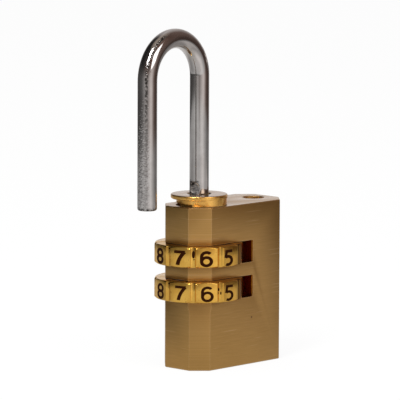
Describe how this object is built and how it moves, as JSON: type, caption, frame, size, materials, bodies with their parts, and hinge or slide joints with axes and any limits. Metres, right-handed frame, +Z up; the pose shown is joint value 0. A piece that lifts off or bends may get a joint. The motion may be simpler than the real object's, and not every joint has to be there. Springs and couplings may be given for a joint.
{
  "type": "combination padlock",
  "caption": "Small solid brass combination padlock with number dials on its shackle's spindle, shown open with the steel shackle raised and swung out.",
  "frame": {"origin": "on the spindle axis of the dials, in the plane of the body's underside", "axes": "+Z up along the spindle; +X from the dial end towards the hole for the shackle's free leg; the front wide face looks along -Y"},
  "size_m": [0.0294, 0.0134, 0.0528],
  "materials": {
    "body_brass": "brushed",
    "dial_brass": "polished, with black numbers",
    "collar_brass": "polished",
    "inner_brass": "turned",
    "shackle_steel": "plated, with pits and scratches",
    "spring_steel": "plain"
  },
  "bodies": {
    "root": {"body": "body_brass", "bottom_plug": "body_brass", "collar_pin": "spring_steel", "click_spring_upper": "spring_steel", "click_spring_lower": "spring_steel", "reset_spring": "spring_steel", "shackle_spring": "spring_steel"},
    "collar": {"change_collar": "collar_brass", "sleeve_spacer": "inner_brass", "thrust_washer": "spring_steel"},
    "follower": {"spring_follower": "inner_brass"},
    "shackle": {"shackle": "shackle_steel", "foot_clip": "spring_steel"},
    "upper_dial": {"dial_upper": "dial_brass"},
    "lower_dial": {"dial_lower": "dial_brass"},
    "upper_sleeve": {"clutch_sleeve_upper": "inner_brass"},
    "lower_sleeve": {"clutch_sleeve_lower": "inner_brass"}
  },
  "joints": [
    {"name": "collar_press", "type": "slide", "parent": "root", "child": "collar", "axis": [0, 0, 1], "range_m": [-0.00075, 0], "stiffness_N_per_m": 400, "springref_m": 0.002, "deforming": ["reset_spring"]},
    {"name": "shackle_lift", "type": "slide", "parent": "collar", "child": "follower", "axis": [0, 0, 1], "range_m": [-0.0054, 0], "stiffness_N_per_m": 150, "springref_m": 0.004, "deforming": ["shackle_spring"]},
    {"name": "shackle_turn", "type": "hinge", "parent": "follower", "child": "shackle", "pos_m": [0, 0, 0.0087], "axis": [0, 0, 1], "range_deg": [-183.6, 176.4]},
    {"name": "upper_dial_turn", "type": "hinge", "parent": "root", "child": "upper_dial", "pos_m": [0, 0, 0.0178], "axis": [0, 0, 1], "continuous": true, "deforming": ["click_spring_upper"]},
    {"name": "lower_dial_turn", "type": "hinge", "parent": "root", "child": "lower_dial", "pos_m": [0, 0, 0.01235], "axis": [0, 0, 1], "continuous": true, "deforming": ["click_spring_lower"]},
    {"name": "upper_sleeve_slide", "type": "slide", "parent": "upper_dial", "child": "upper_sleeve", "axis": [0, 0, 1], "range_m": [-0.00075, 0]},
    {"name": "lower_sleeve_slide", "type": "slide", "parent": "lower_dial", "child": "lower_sleeve", "axis": [0, 0, 1], "range_m": [-0.00075, 0]}
  ],
  "couplings": [
    {"joint": "upper_sleeve_slide", "follows": "collar_press", "ratio": 1},
    {"joint": "lower_sleeve_slide", "follows": "collar_press", "ratio": 1}
  ]
}
